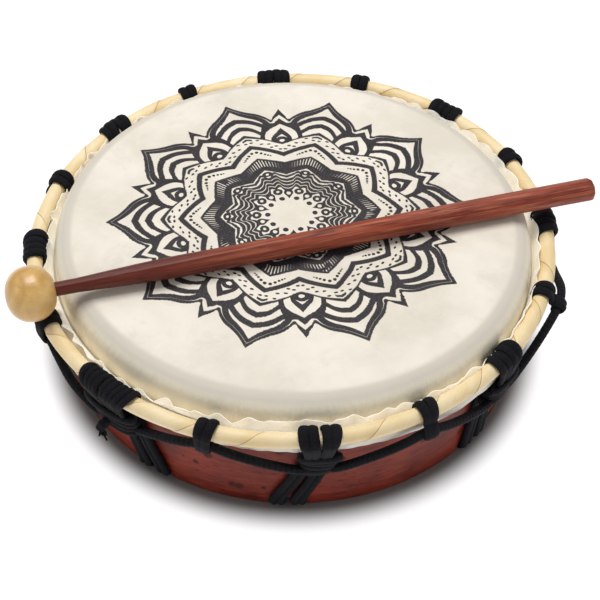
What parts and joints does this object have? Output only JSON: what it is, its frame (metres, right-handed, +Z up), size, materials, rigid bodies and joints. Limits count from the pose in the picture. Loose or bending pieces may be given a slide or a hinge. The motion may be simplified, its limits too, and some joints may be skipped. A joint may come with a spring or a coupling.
{
  "type": "shaman drum",
  "caption": "Round hand drum with a wooden shell, a hide head under a cane-bound hoop lashed with black cord, and a ball-headed wooden beater lying on it.",
  "frame": {"origin": "the middle of the whole object's underside, on the surface that the drum stands on", "axes": "+Z up along the drum's axis, +X towards the free end of the beater, -Y towards the viewer"},
  "size_m": [0.2741, 0.2584, 0.0909],
  "materials": {
    "shell_wood": "satin red-brown stained wood with dark spots and bands",
    "hide": "matt cream rawhide, printed black",
    "cane": "satin pale split cane, bound in strips",
    "cord": "matt black soft cotton cord",
    "stick_wood": "satin red-brown planed hardwood",
    "ball_wood": "polished honey-coloured turned wood"
  },
  "bodies": {
    "root": {"shell": "shell_wood", "drumhead": "hide", "hoop": "cane", "lacing_cord": "cord", "beater_stick": "stick_wood", "beater_ball": "ball_wood"}
  },
  "joints": []
}
